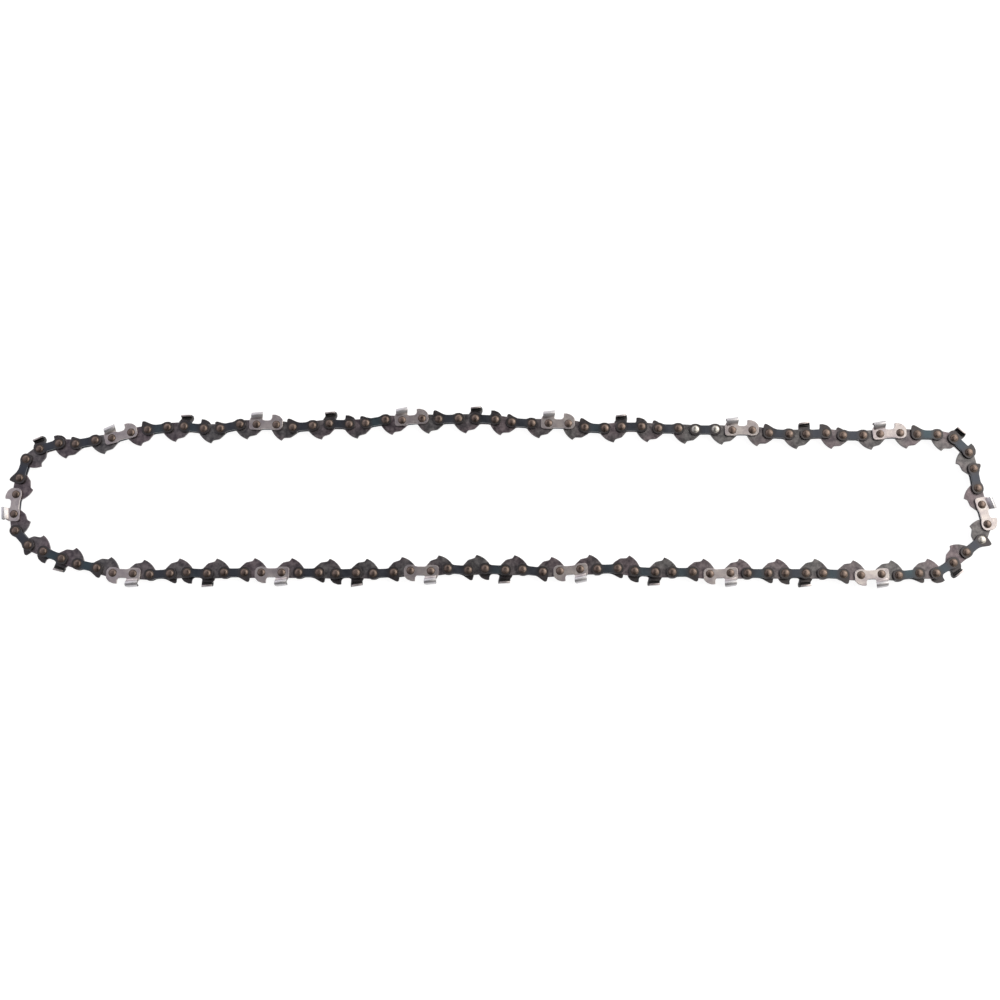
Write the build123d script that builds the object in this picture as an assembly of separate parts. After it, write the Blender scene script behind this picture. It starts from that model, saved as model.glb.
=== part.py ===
"""Saw chain in a closed loop, lying on its side: drive links, side plates, cutters, guard straps and rivets.

Each node is one pitch of the chain: a drive link, and the pair of side plates riveted through its front hole.
In a link's own frame +X is the way the chain runs, +Y points away from the bar and +Z is the right-hand side.
"""
import math
import os

from build123d import *

# Chain sizes in mm
drive_pitch = 8.7
strap_pitch = 10.35
gauge = 1.3
strap_thickness = 1.15
side_play = 0.06
cutting_width = 6.4

# Drive links: height above the rivet line, and depth of the tang below it
drive_top = 2.6
tail_radius = 2.9
tang_depth = 7.6

# Side plates
end_radius = 3.1
waist_height = 4.2
guard_height = 4.8

# Cutters
depth_gauge_height = 5.4
gullet_floor = 2.2
tooth_height = 6.9
tooth_length = 6.2
top_plate_thickness = 0.9
top_plate_angle = 15
top_clearance_angle = 7

# Rivets, eight-sided because the loop has so many of them
pin_radius = 1.6
head_radius = 2.1
head_height = 0.5
running_clearance = 0.06

# Which way each link points, in degrees, from the joining link onward: drive link and side plates in turn
link_headings = [
    -3, 0, -10, -3, 0, 3, -8, 0, 4, 3, -4, -1, -13, -47, -77, -82, -80, -78, -112, -142, -142, -149,
    -180, -174, -184, -177, -183, -183, -180, -180, -180, -180, -180, -178, -186, -180, -180, -183,
    -189, -178, -179, -175, -177, -187, -178, -184, -175, -184, -172, -181, -174, -177, -182, -178,
    -183, -180, -180, -180, -180, -180, -177, -183, -176, -177, -183, -182, -197, -192, -198, -201,
    -202, -227, -261, -272, -278, -285, -321, -343, -362, -349, -353, -343, -350, -353, -357, -366,
    -360, -348, -360, -361, -369, -355, -353, -362, -356, -350, -362, -355, -362, -358, -360, -363,
    -369, -364, -360, -361, -373, -363, -354, -360, -366, -361, -363, -360,
]

link_count = len(link_headings) // 2
half_drive = drive_pitch / 2
half_strap = strap_pitch / 2
half_waist = waist_height / 2
half_width = cutting_width / 2
plate_inside = gauge / 2 + side_play
plate_outside = plate_inside + strap_thickness
end_long = end_radius * math.cos(math.radians(22.5))
end_short = end_radius * math.sin(math.radians(22.5))


def lay_rivets():
    """Rivet centres round the loop, each link turned by the little that closes it."""
    pitches = [drive_pitch, strap_pitch] * link_count
    headings = [math.radians(angle) for angle in link_headings]
    for _ in range(8):
        runs = [Vector(p * math.cos(a), p * math.sin(a)) for p, a in zip(pitches, headings)]
        gap = sum(runs, Vector())
        xx = sum(run.X * run.X for run in runs)
        yy = sum(run.Y * run.Y for run in runs)
        xy = sum(run.X * run.Y for run in runs)
        pull_x = (xx * gap.X + xy * gap.Y) / (xx * yy - xy * xy)
        pull_y = (yy * gap.Y + xy * gap.X) / (xx * yy - xy * xy)
        headings = [a + run.Y * pull_x - run.X * pull_y for a, run in zip(headings, runs)]
    return [sum(runs[:number], Vector()) for number in range(len(runs))]


def plate(outline, inside, outside):
    """A flat plate between two distances from the middle plane of the chain."""
    return extrude(Pos(0, 0, inside) * make_face(Polyline(*outline, close=True)), outside - inside)


def octagon(x, radius, bottom, top):
    """A stretch of a rivet, or of the hole that it turns in."""
    return extrude(Pos(x, 0, bottom) * RegularPolygon(radius, 8, rotation=22.5), top - bottom)


def lower_edge():
    """The bar side of a side plate, from its front tip back to its rear tip."""
    return [
        (half_strap + end_long, -end_short),
        (half_strap + end_short, -end_long),
        (half_strap - end_radius, -half_waist),
        (-half_strap + end_radius, -half_waist),
        (-half_strap - end_short, -end_long),
        (-half_strap - end_long, -end_short),
    ]


def make_drive_link():
    """Flat link with two rivet holes, a tail that is round about its rivet, and a hooked tang."""
    tail = CenterArc((-half_drive, 0), tail_radius, 115, 95)
    outline = Polyline(
        tail @ 1,
        (-half_drive - 2.1, -0.4 * tang_depth),
        (-half_drive - 0.2, -0.7 * tang_depth),
        (-2.3, -0.95 * tang_depth),
        (-0.5, -tang_depth),
        (0.7, -0.82 * tang_depth),
        (half_drive - 0.5, -0.73 * tang_depth),
        (half_drive + 2.6, -0.34 * tang_depth),
        (half_drive + 2.85, 1.0),
        (half_drive + 1.6, drive_top),
        tail @ 0,
    )
    link = extrude(Pos(0, 0, -gauge / 2) * make_face([tail, outline]), gauge)
    hole_radius = (pin_radius + running_clearance) / math.cos(math.radians(22.5))
    for x in (-half_drive, half_drive):
        link -= octagon(x, hole_radius, -gauge, gauge)
    return link


def make_strap():
    """Plain side plate with a waist."""
    upper_edge = [(x, -y) for x, y in reversed(lower_edge())]
    return plate(lower_edge() + upper_edge, plate_inside, plate_outside)


def make_guard_strap():
    """Side plate with a bump over its rear rivet, just ahead of the depth gauge behind it."""
    upper_edge = [
        (-half_strap - end_long + 0.3, 0.9 * guard_height),
        (-half_strap - 1.5, guard_height),
        (-half_strap + 3.3, half_waist),
        (half_strap - end_radius, half_waist),
        (half_strap + end_short, end_long),
        (half_strap + end_long, end_short),
    ]
    return plate(lower_edge() + upper_edge, plate_inside, plate_outside)


def make_cutter():
    """Side plate with a depth gauge at the front and a bent tooth over its rear rivet."""
    tooth_root = 0.6 * tooth_height
    upper_edge = [
        (-half_strap - end_long - 0.9, 1.6),
        (-half_strap - 2.5, tooth_root),
        (-half_strap + 2.1, tooth_root),
        (-half_strap + 2.8, gullet_floor + 0.6),
        (-half_strap + 4.3, gullet_floor),
        (half_strap - 3.7, gullet_floor),
        (half_strap - 2.6, gullet_floor + 1.0),
        (half_strap - 2.4, depth_gauge_height),
        (half_strap - 0.6, depth_gauge_height),
        (half_strap + 1.7, 0.84 * depth_gauge_height),
        (half_strap + end_long + 0.4, 2.8),
    ]
    body = plate(lower_edge() + upper_edge, plate_inside, plate_outside)

    # Section of the tooth as height and distance from the middle: out to the full width, then over the chain
    section = [
        (half_waist, plate_inside),
        (half_waist, plate_outside),
        (0.52 * tooth_height, plate_outside),
        (0.68 * tooth_height, half_width),
        (0.8 * tooth_height, half_width),
        (tooth_height, half_width - 1.4),
        (tooth_height, -gauge / 2),
        (tooth_height - top_plate_thickness, -gauge / 2),
        (tooth_height - 1.2 * top_plate_thickness, half_width - 1.4),
        (0.62 * tooth_height, plate_inside),
    ]
    lean = math.tan(math.radians(top_plate_angle))
    front = -half_strap + 3.4
    edge = Polyline(*[(front - lean * (half_width - z), y, z) for y, z in section], close=True)
    fall = math.tan(math.radians(top_clearance_angle))
    tooth = extrude(make_face(edge), tooth_length, dir=(-1, -fall, 0))
    heel = Plane(origin=(front - tooth_length, 0, 0), z_dir=(1, 0, 0))
    return body + split(tooth, heel, keep=Keep.TOP)


def make_outer_link(right_plate, left_plate):
    """Two side plates with the two rivets that are peened into them, the left one mirrored."""
    link = right_plate + mirror(left_plate, Plane.XY)
    head_top = plate_outside + head_height
    for x in (-half_strap, half_strap):
        link += octagon(x, pin_radius, -plate_outside + 0.2, plate_outside - 0.2)
        link += octagon(x, head_radius, plate_outside - 0.2, head_top)
        link += octagon(x, head_radius, -head_top, -plate_outside + 0.2)
    return link


def between(rear, front):
    """Frame of a link that lies from one rivet to the next."""
    return Plane(origin=(rear + front) / 2, x_dir=front - rear, z_dir=(0, 0, 1)).location


strap = make_strap()
guard = make_guard_strap()
cutter = make_cutter()
drive_link = make_drive_link()
outer_links = {
    "right_cutter": make_outer_link(cutter, strap),
    "right_guard_strap": make_outer_link(guard, strap),
    "left_cutter": make_outer_link(strap, cutter),
    "left_guard_strap": make_outer_link(strap, guard),
    "joining_strap": make_outer_link(strap, strap),
}
pattern = ["right_cutter", "right_guard_strap", "left_cutter", "left_guard_strap"]

rivets = lay_rivets()
links = {}
for number in range(link_count):
    rear, middle = rivets[2 * number], rivets[2 * number + 1]
    front = rivets[(2 * number + 2) % len(rivets)]
    kind = pattern[number % 4] if number < link_count - 1 else "joining_strap"
    pieces = [between(rear, middle) * drive_link, between(middle, front) * outer_links[kind]]
    links[f"link_{number + 1:02d}_{kind}"] = Compound([solid for piece in pieces for solid in piece.solids()])

# The loop is centred over the origin and rests on the floor
room = Compound(list(links.values())).bounding_box()
to_origin = Pos(-room.center().X, -room.center().Y, -room.min.Z)
os.makedirs("parts", exist_ok=True)
for name, link in links.items():
    export_step(to_origin * link, f"parts/{name}.step")
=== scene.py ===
import math

import bmesh
import bpy
from mathutils import Matrix, Vector


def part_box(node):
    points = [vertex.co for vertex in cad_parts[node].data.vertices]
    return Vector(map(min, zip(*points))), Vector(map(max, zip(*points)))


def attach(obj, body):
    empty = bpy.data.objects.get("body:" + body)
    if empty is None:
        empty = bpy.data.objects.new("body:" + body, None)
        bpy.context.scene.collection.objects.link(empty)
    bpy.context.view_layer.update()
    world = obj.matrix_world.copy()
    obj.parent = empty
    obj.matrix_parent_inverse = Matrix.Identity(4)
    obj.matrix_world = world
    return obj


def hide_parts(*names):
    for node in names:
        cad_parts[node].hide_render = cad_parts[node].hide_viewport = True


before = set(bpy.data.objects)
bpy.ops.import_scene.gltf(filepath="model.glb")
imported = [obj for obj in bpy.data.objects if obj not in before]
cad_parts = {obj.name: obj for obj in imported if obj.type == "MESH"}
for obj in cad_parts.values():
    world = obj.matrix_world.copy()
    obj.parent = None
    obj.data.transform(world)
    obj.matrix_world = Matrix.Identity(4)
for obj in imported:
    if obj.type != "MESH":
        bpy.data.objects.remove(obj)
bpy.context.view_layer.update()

# Chain sizes in mm, as in the solids
# A link's own frame has +X along its run, +Y away from the bar and +Z to the right-hand side
MM = 0.001
MID_HEIGHT = 3.2
STRAP_PITCH = 10.35
RIVET = STRAP_PITCH / 2
GAUGE = 1.3
HALF_GAUGE = GAUGE / 2
PLATE_INSIDE = 0.71
PLATE_OUTSIDE = 1.86
HALF_WIDTH = 3.2
HEAD_TOP = 2.36
TOOTH_FRONT = -RIVET + 3.4
TOOTH_LENGTH = 6.2
TOP_PLATE_ANGLE = math.radians(15)
TOP_CLEARANCE_ANGLE = math.radians(7)

# Broken edges in mm, and the bend from which an edge counts as sharp
EDGE_BREAK = 0.14
DRIVE_EDGE_BREAK = 0.12
TOOTH_EDGE_BREAK = 0.06
PLATE_SHARP = math.radians(40)
TOOTH_SHARP = math.radians(50)

# Roundings in mm up to which two steps are enough, and from which six are needed
FINE_ROUNDING = 0.6
WIDE_ROUNDING = 2

# Faces under these areas, in square mm, belong to a bend and are shaded smooth
PLATE_BEND = 1.2
TOOTH_BEND = 5.0

# The tooth's root lies this far inside its plate, and its strip runs on past the heel before it is cut
ROOT_SINK = 0.05
HEEL_OVERRUN = 1.0

# Where the finishes of a cutter meet, including the dark inside finish that is partly painted shade under the
# tooth's top plate: heights, places in mm, and how far a face has to lean
CHROME_FROM = 3.7
CHROME_LEAN = 0.2
INSIDE_FROM = 3.6
INSIDE_BEHIND = -1
INSIDE_BELOW = 1.9
INSIDE_LEAN = 0.3
FREE_EDGE = 0.1

# Rivets: sides of the spun shape, and where the crown begins inside the rim
RIVET_SIDES = 18
CROWN_RADIUS = 1.72
CROWN_FROM = 1.96

# Vertices nearer than this are one, and this many mm of a link fill its plan
WELD = 1e-4
PLAN_SIZE = 20

# In metres: depth of the grain in the steel, and play when a height is compared
GRAIN = 0.0001
LEVEL = 2e-5

# Places of the colour sockets on a Mix node
MIX_FIRST = 6
MIX_SECOND = 7
MIX_RESULT = 2


# Shader maths


class Value:
    """A node socket that can be used in Python expressions."""

    def __init__(self, nodes, socket):
        self.nodes = nodes
        self.socket = socket

    def maths(self, operation, first, second):
        return self.nodes.node("ShaderNodeMath", {"operation": operation}, {0: first, 1: second})

    def __add__(self, other):
        return self.maths("ADD", self, other)

    def __radd__(self, other):
        return self.maths("ADD", other, self)

    def __sub__(self, other):
        return self.maths("SUBTRACT", self, other)

    def __rsub__(self, other):
        return self.maths("SUBTRACT", other, self)

    def __mul__(self, other):
        return self.maths("MULTIPLY", self, other)

    def __rmul__(self, other):
        return self.maths("MULTIPLY", other, self)


def rgba(colour):
    """A colour as a socket takes it: a value as it is, three numbers with their alpha."""
    return colour if isinstance(colour, Value) else (*colour, 1.0)


class Nodes:
    """A node tree, with a short way to add to it."""

    def __init__(self, tree):
        self.tree = tree

    def node(self, kind, settings=None, inputs=None, output=0):
        """A new node: its settings first, then its sockets, and one output as a value."""
        made = self.tree.nodes.new(kind)
        for key, value in (settings or {}).items():
            setattr(made, key, value)
        for key, value in (inputs or {}).items():
            self.feed(made.inputs[key], value)
        return Value(self, made.outputs[output])

    def feed(self, socket, value):
        if isinstance(value, Value):
            self.tree.links.new(value.socket, socket)
        else:
            socket.default_value = value

    def spread(self, value, low, high, first=0.0, last=1.0):
        """A value moved from one range to another."""
        return self.node("ShaderNodeMapRange", {}, {0: value, 1: low, 2: high, 3: first, 4: last})

    def mix(self, factor, first, second):
        """Two colours mixed by a factor."""
        inputs = {0: factor, MIX_FIRST: rgba(first), MIX_SECOND: rgba(second)}
        return self.node("ShaderNodeMix", {"data_type": "RGBA"}, inputs, output=MIX_RESULT)


class Paint(Nodes):
    """One material and the nodes that make it."""

    def __init__(self, name):
        self.material = bpy.data.materials.new(name)
        self.material.use_nodes = True
        super().__init__(self.material.node_tree)
        self.shader = self.tree.nodes["Principled BSDF"]

    def place(self):
        """Object coordinates."""
        return self.node("ShaderNodeTexCoord", output="Object")

    def link_place(self, scale=(1, 1, 1)):
        """Place on the link itself, along its run and across it, stretched by a scale."""
        here = self.node("ShaderNodeUVMap", {"uv_map": "link_plan"})
        return self.node("ShaderNodeMapping", {}, {"Vector": here, "Scale": scale})

    def noise(self, place, scale, detail=3.0):
        inputs = {"Vector": place, "Scale": scale, "Detail": detail, "Roughness": 0.6}
        return self.node("ShaderNodeTexNoise", {}, inputs)

    def bump(self, height, strength):
        inputs = {"Strength": strength, "Distance": GRAIN, "Height": height}
        self.feed(self.shader.inputs["Normal"], self.node("ShaderNodeBump", {}, inputs))

    def surface(self, colour, roughness, metallic=1.0):
        """Feed the shader, and give the finished material."""
        self.feed(self.shader.inputs["Base Color"], rgba(colour))
        self.feed(self.shader.inputs["Roughness"], roughness)
        self.feed(self.shader.inputs["Metallic"], metallic)
        return self.material


def drive_steel():
    """Tumbled grey steel with a faint brown and violet temper."""
    paint = Paint("drive_link_steel")
    here = paint.place()
    cloud = paint.spread(paint.noise(here, 420.0, 6.0), 0.36, 0.64)
    grey = paint.mix(cloud, (0.08, 0.078, 0.082), (0.185, 0.178, 0.18))
    violet = paint.mix(cloud, (0.092, 0.076, 0.087), (0.21, 0.175, 0.187))
    heat = paint.spread(paint.noise(here, 38.0, 1.0), 0.4, 0.6)
    roughness = paint.spread(cloud, 0.0, 1.0, 0.31, 0.43)
    paint.bump(paint.noise(here, 2600.0), 0.25)
    return paint.surface(paint.mix(heat, grey, violet), roughness)


def strap_steel():
    """Blued steel, deepest blue at the waist and browner round the rivets."""
    paint = Paint("blued_strap_steel")
    here = paint.place()
    along = paint.node("ShaderNodeSeparateXYZ", {}, {0: paint.link_place()})
    off_middle = paint.node("ShaderNodeMath", {"operation": "ABSOLUTE"}, {0: along - 0.5})
    cloud = paint.noise(here, 300.0)
    brown = paint.mix(cloud, (0.05, 0.046, 0.05), (0.092, 0.085, 0.086))
    blue = paint.mix(cloud, (0.045, 0.05, 0.064), (0.082, 0.088, 0.104))
    teal = paint.mix(cloud, (0.046, 0.068, 0.082), (0.08, 0.11, 0.126))
    heat = paint.spread(paint.noise(here, 42.0, 1.0), 0.5, 0.68)
    waist = paint.spread(off_middle, 0.06, 0.2, 1.0, 0.0)
    roughness = paint.spread(cloud, 0.3, 0.7, 0.29, 0.41)
    paint.bump(paint.noise(here, 2200.0), 0.2)
    return paint.surface(paint.mix(waist, brown, paint.mix(heat, blue, teal)), roughness)


def plated_steel():
    """Bright plated cutter with fine grinding marks along it."""
    paint = Paint("plated_cutter_steel")
    streak = paint.noise(paint.link_place((6, 90, 1)), 3.0, 4.0)
    cloud = paint.spread(paint.noise(paint.place(), 240.0), 0.35, 0.65)
    colour = paint.mix(cloud, (0.36, 0.322, 0.338), (0.52, 0.478, 0.466))
    paint.bump(streak, 0.2)
    return paint.surface(colour, paint.spread(streak, 0.3, 0.7, 0.27, 0.37))


def chrome_top():
    """Chrome on the bend and top of a tooth, streaked across."""
    paint = Paint("chrome_tooth_top")
    streak = paint.spread(paint.noise(paint.link_place((70, 8, 1)), 3.0), 0.35, 0.65)
    colour = paint.mix(streak, (0.42, 0.412, 0.428), (0.57, 0.562, 0.578))
    return paint.surface(colour, paint.spread(streak, 0.0, 1.0, 0.38, 0.5))


def inner_steel_and_painted_shade():
    """Plain dark steel on the inside of a cutter, made darker still as painted shade under the tooth's top
    plate.
    """
    paint = Paint("cutter_inside_steel_painted_shade")
    cloud = paint.noise(paint.place(), 300.0)
    return paint.surface(paint.mix(cloud, (0.045, 0.044, 0.046), (0.105, 0.101, 0.102)), 0.55)


def rivet_steel(name, dark, light):
    """Spun rivet end, mottled between two colours."""
    paint = Paint(name)
    cloud = paint.noise(paint.place(), 500.0)
    colour = paint.mix(paint.spread(cloud, 0.35, 0.65), dark, light)
    return paint.surface(colour, paint.spread(cloud, 0.3, 0.7, 0.26, 0.4))


finishes = {
    "drive": drive_steel(),
    "strap": strap_steel(),
    "plated": plated_steel(),
    "chrome": chrome_top(),
    # Plain inside steel, darkened further as painted shade under the teeth
    "inside": inner_steel_and_painted_shade(),
    "rim": rivet_steel("bronze_rivet_rim", (0.07, 0.055, 0.045), (0.12, 0.095, 0.078)),
    "crown": rivet_steel("bronze_rivet_crown", (0.106, 0.08, 0.069), (0.19, 0.145, 0.125)),
    "bright_rim": rivet_steel("bright_rivet_rim", (0.2, 0.19, 0.175), (0.3, 0.285, 0.265)),
    "bright_crown": rivet_steel("bright_rivet_crown", (0.4, 0.385, 0.36), (0.56, 0.54, 0.505)),
}
finish_number = {key: number for number, key in enumerate(finishes)}


# Shapes of the pieces, each in the link's own frame in mm


def to_mesh(bm, name):
    """A mesh from a bmesh that is done with."""
    mesh = bpy.data.meshes.new(name)
    bm.to_mesh(mesh)
    bm.free()
    return mesh


def finish_shape(bm, name):
    """Faces outwards, a plan of the link as UV map, and a mesh to copy from."""
    bmesh.ops.remove_doubles(bm, verts=bm.verts, dist=WELD)
    bmesh.ops.recalc_face_normals(bm, faces=bm.faces)
    plan = bm.loops.layers.uv.new("link_plan")
    for face in bm.faces:
        for loop in face.loops:
            loop[plan].uv = (loop.vert.co.x / PLAN_SIZE + 0.5, loop.vert.co.y / PLAN_SIZE + 0.5)
    return to_mesh(bm, name)


def rounded_face(bm, corners):
    """A flat face from corners (x, y, rounding)."""
    verts = [bm.verts.new((x, y, 0)) for x, y, _ in corners]
    bm.faces.new(verts)
    for size in sorted({r for _, _, r in corners if r}):
        chosen = [v for v, (_, _, r) in zip(verts, corners) if r == size]
        steps = 2 if size <= FINE_ROUNDING else 4 if size < WIDE_ROUNDING else 6
        bmesh.ops.bevel(bm, geom=chosen, offset=size, offset_type="OFFSET", segments=steps, profile=0.5,
                        affect="VERTICES", material=-1, clamp_overlap=True)
    return bm.faces[:]


def break_edges(bm, size, sharp_bend):
    """Small bevels along the sharp edges."""
    inner = [e for e in bm.edges if len(e.link_faces) == 2]
    sharp = [e for e in inner if e.calc_face_angle(0) > sharp_bend]
    bmesh.ops.bevel(bm, geom=sharp, offset=size, offset_type="OFFSET", segments=2, profile=0.5,
                    affect="EDGES", material=-1, clamp_overlap=True)


def thicken(bm, faces, step):
    """Extrude flat faces by a step."""
    grown = bmesh.ops.extrude_face_region(bm, geom=faces)
    moved = [g for g in grown["geom"] if isinstance(g, bmesh.types.BMVert)]
    bmesh.ops.translate(bm, verts=moved, vec=step)
    bmesh.ops.recalc_face_normals(bm, faces=bm.faces)


def set_finish(bm, key, largest_bend):
    """One finish all over, with the small faces of bends and bevels shaded smooth."""
    for face in bm.faces:
        face.material_index = finish_number[key]
        face.smooth = face.calc_area() < largest_bend


def plate(corners, inside, outside, key, edge=EDGE_BREAK):
    """A stamped plate with rounded corners and broken edges."""
    bm = bmesh.new()
    thicken(bm, rounded_face(bm, corners), (0, 0, outside - inside))
    bmesh.ops.translate(bm, verts=bm.verts, vec=(0, 0, inside))
    break_edges(bm, edge, PLATE_SHARP)
    set_finish(bm, key, PLATE_BEND)
    return bm


# Bar side of a strap, from its front end to its rear end, as corners (x, y, rounding)
LOWER_EDGE = [
    (8.2, -2.95, 2.7), (4.0, -2.95, 0.7), (2.4, -2.1, 0.8),
    (-2.4, -2.1, 0.8), (-4.0, -2.95, 0.7), (-8.2, -2.95, 2.7),
]


def drive_link():
    """Flat link with its hooked tang."""
    corners = [
        (-7.25, 2.75, 2.3), (-2.6, 2.6, 1.5), (2.6, 2.6, 1.5), (7.25, 2.75, 2.3), (7.1, -2.4, 0.9),
        (3.9, -5.4, 0.5), (0.55, -6.05, 0.45), (-0.5, -7.62, 0.1), (-2.4, -6.9, 1.1), (-4.6, -5.3, 1.0),
        (-6.5, -3.0, 0.6), (-7.25, -1.2, 0.8),
    ]
    return finish_shape(plate(corners, -HALF_GAUGE, HALF_GAUGE, "drive", DRIVE_EDGE_BREAK), "drive_link")


def plain_strap():
    """Side plate with a waist."""
    corners = LOWER_EDGE + [(x, -y, r) for x, y, r in reversed(LOWER_EDGE)]
    return finish_shape(plate(corners, PLATE_INSIDE, PLATE_OUTSIDE, "strap"), "plain_strap")


def guard_strap():
    """Side plate with a bump over its rear rivet."""
    corners = LOWER_EDGE + [
        (-8.2, 2.1, 1.2), (-7.65, 4.9, 0.8), (-6.3, 4.7, 0.5), (-1.8, 2.1, 1.6), (2.4, 2.1, 0.8),
        (4.0, 2.95, 0.7), (8.2, 2.95, 2.7),
    ]
    return finish_shape(plate(corners, PLATE_INSIDE, PLATE_OUTSIDE, "strap"), "guard_strap")


def cutter_body():
    """Plate of a cutter, with its gullet and depth gauge."""
    corners = [
        (8.4, -2.95, 2.6), (4.0, -2.95, 0.7), (2.2, -2.2, 0.8), (-2.2, -2.2, 0.8), (-4.0, -2.95, 0.7),
        (-9.0, -2.95, 1.5), (-9.0, 2.6, 1.0), (-7.8, 4.3, 0.3), (-2.9, 4.3, 0.3), (-2.3, 2.2, 1.4),
        (2.7, 2.2, 1.7), (2.75, 5.4, 0.25), (4.6, 5.4, 0.4), (6.9, 4.5, 0.5), (8.5, 2.7, 0.8),
    ]
    return plate(corners, PLATE_INSIDE, PLATE_OUTSIDE, "plated")


def cutter_tooth():
    """Bent strip: out to the full width of the cut, then over the chain, with its front ground at a slant."""
    root_inside = PLATE_INSIDE + ROOT_SINK
    root_outside = PLATE_OUTSIDE - ROOT_SINK
    section = [
        (2.0, root_inside, 0), (2.0, root_outside, 0), (3.45, root_outside, 0.9), (4.75, HALF_WIDTH, 0.6),
        (6.9, HALF_WIDTH, 1.5), (6.9, -HALF_GAUGE, 0.1), (6.0, -HALF_GAUGE, 0.1),
        (5.85, HALF_WIDTH - 1.4, 0.7), (4.2, root_inside, 0.8),
    ]
    bm = bmesh.new()
    flat = rounded_face(bm, section)
    stand = Matrix(((0, 0, 1, 0), (1, 0, 0, 0), (0, 1, 0, 0), (0, 0, 0, 1)))
    lean = math.tan(TOP_PLATE_ANGLE)
    slant = Matrix(((1, 0, lean, TOOTH_FRONT - lean * HALF_WIDTH), (0, 1, 0, 0), (0, 0, 1, 0), (0, 0, 0, 1)))
    bmesh.ops.transform(bm, matrix=slant @ stand, verts=bm.verts)
    reach = TOOTH_LENGTH + HEEL_OVERRUN
    thicken(bm, flat, (-reach, -reach * math.tan(TOP_CLEARANCE_ANGLE), 0))
    everything = bm.verts[:] + bm.edges[:] + bm.faces[:]
    heel = (TOOTH_FRONT - TOOTH_LENGTH, 0, 0)
    bmesh.ops.bisect_plane(bm, geom=everything, plane_co=heel, plane_no=(-1, 0, 0), clear_outer=True)
    bmesh.ops.holes_fill(bm, edges=[e for e in bm.edges if e.is_boundary], sides=0)
    bmesh.ops.recalc_face_normals(bm, faces=bm.faces)
    break_edges(bm, TOOTH_EDGE_BREAK, TOOTH_SHARP)
    set_finish(bm, "plated", TOOTH_BEND)
    for face in bm.faces:
        on_outside = face.normal.z > CHROME_LEAN and face.calc_center_median().y > CHROME_FROM
        if on_outside or face.normal.y > CHROME_LEAN:
            face.material_index = finish_number["chrome"]
    return bm


def cutter():
    """Body and tooth of a right-hand cutter, dark on its inside: plain steel, with painted shade on the
    tooth's faces under its top plate.
    """
    bm = cutter_body()
    tooth = to_mesh(cutter_tooth(), "tooth")
    bm.from_mesh(tooth)
    bpy.data.meshes.remove(tooth)
    bm.normal_update()
    for face in bm.faces:
        middle = face.calc_center_median()
        in_tooth = middle.y > INSIDE_FROM and middle.x < INSIDE_BEHIND
        inward = face.normal.z < -INSIDE_LEAN
        upright = face.normal.z < INSIDE_LEAN and face.normal.y < INSIDE_LEAN
        if middle.z < -HALF_GAUGE + FREE_EDGE:
            face.material_index = finish_number["plated"]
        # Faces inside the tooth, under its top plate, get the dark inside finish: plain steel and painted
        # shade
        elif in_tooth and (inward or (upright and middle.z < INSIDE_BELOW)):
            face.material_index = finish_number["inside"]
        elif inward:
            face.material_index = finish_number["strap"]
    return finish_shape(bm, "right_cutter")


def rivet(rim, crown):
    """Half a profile (radius, height), spun and mirrored."""
    half = [
        (1.55, 0.0), (1.55, 1.5), (2.1, 1.82), (2.1, 1.94), (1.95, 2.0), (1.75, 1.96), (1.5, 2.14),
        (1.05, 2.28), (0.55, 2.345), (0.0, HEAD_TOP),
    ]
    bm = bmesh.new()
    verts = [bm.verts.new((r, 0, z)) for r, z in half]
    edges = [bm.edges.new(pair) for pair in zip(verts, verts[1:])]
    bmesh.ops.spin(bm, geom=verts + edges, cent=(0, 0, 0), axis=(0, 0, 1), angle=2 * math.pi,
                   steps=RIVET_SIDES, use_merge=True, use_duplicate=False)
    bmesh.ops.remove_doubles(bm, verts=bm.verts, dist=WELD)
    bmesh.ops.mirror(bm, geom=bm.verts[:] + bm.edges[:] + bm.faces[:], axis="Z", merge_dist=WELD)
    bmesh.ops.recalc_face_normals(bm, faces=bm.faces)
    for face in bm.faces:
        middle = face.calc_center_median()
        inner = math.hypot(middle.x, middle.y) < CROWN_RADIUS and abs(middle.z) > CROWN_FROM
        face.material_index = finish_number[crown if inner else rim]
        face.smooth = True
    return finish_shape(bm, crown)


shapes = {
    "drive": drive_link(),
    "strap": plain_strap(),
    "guard": guard_strap(),
    "cutter": cutter(),
    "rivet": rivet("rim", "crown"),
    "bright_rivet": rivet("bright_rim", "bright_crown"),
}
sides = {
    "right_cutter": ("cutter", "strap"),
    "right_guard_strap": ("guard", "strap"),
    "left_cutter": ("strap", "cutter"),
    "left_guard_strap": ("strap", "guard"),
    "joining_strap": ("strap", "strap"),
}


# Where the links lie


def rivets_of(node, onward):
    """Rear and front rivet of a node's side plates, from the flat ends of its rivets."""
    places = [v.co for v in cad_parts[node].data.vertices]
    ends = [p for p in places if abs(p.z - (MID_HEIGHT + HEAD_TOP) * MM) < LEVEL]
    near = [p for p in ends if (p - ends[0]).length < RIVET * MM]
    far = [p for p in ends if (p - ends[0]).length >= RIVET * MM]
    centres = []
    for group in (near, far):
        low = Vector((min(p.x for p in group), min(p.y for p in group)))
        high = Vector((max(p.x for p in group), max(p.y for p in group)))
        centres.append((low + high) / 2)
    low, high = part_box(onward)
    ahead = ((Vector(low) + Vector(high)) / 2).to_2d()
    return sorted(centres, key=lambda c: -(c - ahead).length)


def lay(rear, front):
    """From a link's own frame in mm to its place in the loop."""
    run = (front - rear).normalized()
    middle = (rear + front) / 2
    turn = Matrix.Rotation(math.atan2(run.y, run.x), 4, "Z")
    return Matrix.Translation((middle.x, middle.y, MID_HEIGHT * MM)) @ turn @ Matrix.Scale(MM, 4)


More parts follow.
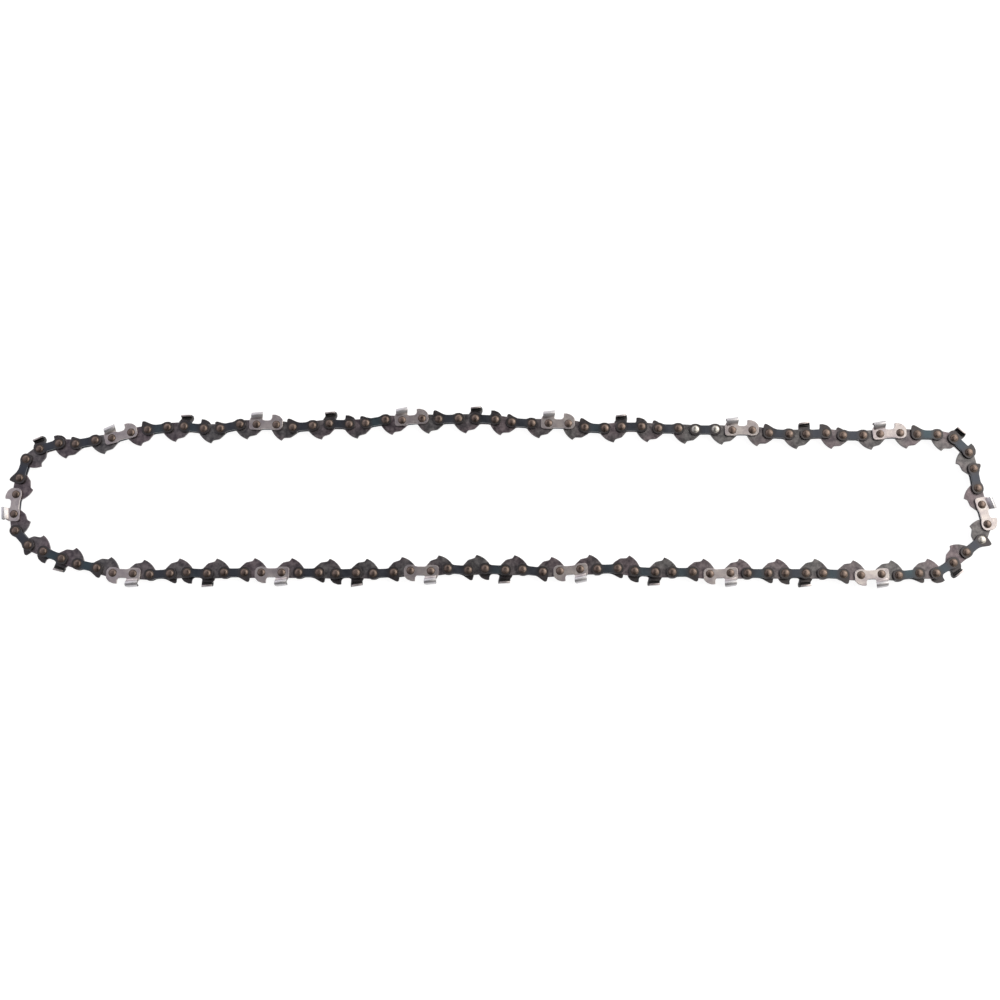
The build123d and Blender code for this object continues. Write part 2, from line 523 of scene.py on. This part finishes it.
def add(bm, shape, matrix, mirrored=False):
    """One more piece in a link's mesh."""
    vert_count = len(bm.verts)
    face_count = len(bm.faces)
    bm.from_mesh(shapes[shape])
    bm.verts.ensure_lookup_table()
    bm.faces.ensure_lookup_table()
    if mirrored:
        matrix = matrix @ Matrix.Scale(-1, 4, (0, 0, 1))
    bmesh.ops.transform(bm, matrix=matrix, verts=bm.verts[vert_count:])
    if mirrored:
        bmesh.ops.reverse_faces(bm, faces=bm.faces[face_count:])


def put(name, data):
    """A new object in the scene."""
    made = bpy.data.objects.new(name, data)
    bpy.context.scene.collection.objects.link(made)
    return made


names = sorted(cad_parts)
rivets = [rivets_of(name, names[(i + 1) % len(names)]) for i, name in enumerate(names)]
for number, name in enumerate(names):
    kind = name.split("_", 2)[2]
    rear = rivets[number - 1][1]
    middle, front = rivets[number]
    bm = bmesh.new()
    add(bm, "drive", lay(rear, middle))
    outer = lay(middle, front)
    right, left = sides[kind]
    add(bm, right, outer)
    add(bm, left, outer, mirrored=True)
    for x in (-RIVET, RIVET):
        bright = kind == "joining_strap" or (name.startswith("link_10") and x < 0)
        add(bm, "bright_rivet" if bright else "rivet", outer @ Matrix.Translation((x, 0, 0)))
    mesh = to_mesh(bm, "dressed_" + name)
    for finish in finishes.values():
        mesh.materials.append(finish)
    link = put("dressed_" + name, mesh)
    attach(link, name[:7])
    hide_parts(name)


# Floor, light and camera, in metres


def floor():
    """Pale floor that glows, so that it stays even."""
    paint = Paint("pale_floor")
    paint.surface((0.25, 0.25, 0.25), 0.9, metallic=0.0)
    paint.shader.inputs["Emission Color"].default_value = (1.0, 1.0, 1.0, 1.0)
    paint.shader.inputs["Emission Strength"].default_value = 0.9
    bm = bmesh.new()
    bmesh.ops.create_grid(bm, x_segments=1, y_segments=1, size=6)
    mesh = to_mesh(bm, "floor")
    mesh.materials.append(paint.material)
    ground = put("floor", mesh)


def soft_light(name, place, target, size, power, colour=(1, 1, 1)):
    """A flat rectangular light that faces its target."""
    lamp = bpy.data.lights.new(name, "AREA")
    lamp.shape = "RECTANGLE"
    lamp.size, lamp.size_y = size
    lamp.energy = power
    lamp.color = colour
    holder = put(name, lamp)
    holder.location = place
    holder.rotation_euler = (Vector(target) - Vector(place)).to_track_quat("-Z", "Y").to_euler()


floor()
soft_light("top_softbox", (0.0, 1.1, 0.8), (0, 0, 0), size=(3.0, 0.8), power=3)
soft_light("right_softbox", (1.0, 0.5, 0.7), (0.15, 0, 0), size=(0.6, 0.6), power=3, colour=(1.0, 0.96, 0.92))

# Studio round the chain: overhead it is dark in the middle and bright to both ends, the walls are even,
# and the near side is dimmer
WALLS = 1.3
world = bpy.data.worlds.new("studio")
world.use_nodes = True
sky = Nodes(world.node_tree)
way = sky.node("ShaderNodeTexCoord", output="Generated")
across, along, upright = [sky.node("ShaderNodeSeparateXYZ", {}, {0: way}, output=axis) for axis in "XYZ"]
right_end = sky.spread(across, 0.13, 0.34, 0.1, 2.8)
left_end = sky.spread(across, -0.12, -0.3, 0.0, 0.75)
overhead = sky.spread(upright, 0.35, 0.8)
near_side = sky.spread(along, -0.3, 0.05, 0.26, 1.0)
glow = ((right_end + left_end) * overhead + WALLS * (1.0 - overhead)) * near_side
tint = sky.mix(sky.spread(across, -0.3, 0.35), (0.975, 0.945, 1.0), (1.0, 0.965, 0.9))
background = world.node_tree.nodes["Background"]
sky.feed(background.inputs["Color"], tint)
sky.feed(background.inputs["Strength"], glow)
bpy.context.scene.world = world
bpy.context.scene.view_settings.view_transform = "Standard"

# Camera over the near side of the loop, tilted from straight down and turned a little
TARGET = Vector((2.154, -2.510, 5.56)) * MM
DISTANCE = 714 * MM
TILT = math.radians(11.0)
TURN = math.radians(-1.02)
camera = bpy.data.cameras.new("camera")
camera.lens = 50.14
camera.sensor_width = 36
camera.clip_start = 0.01
eye = put("camera", camera)
look = Vector((math.sin(TURN), math.sin(TILT) * math.cos(TURN), -math.cos(TILT) * math.cos(TURN)))
side = Vector((math.cos(TURN), -math.sin(TILT) * math.sin(TURN), math.cos(TILT) * math.sin(TURN)))
eye.location = TARGET - look * DISTANCE
eye.rotation_euler = Matrix((side, side.cross(look), -look)).transposed().to_euler()
bpy.context.scene.camera = eye
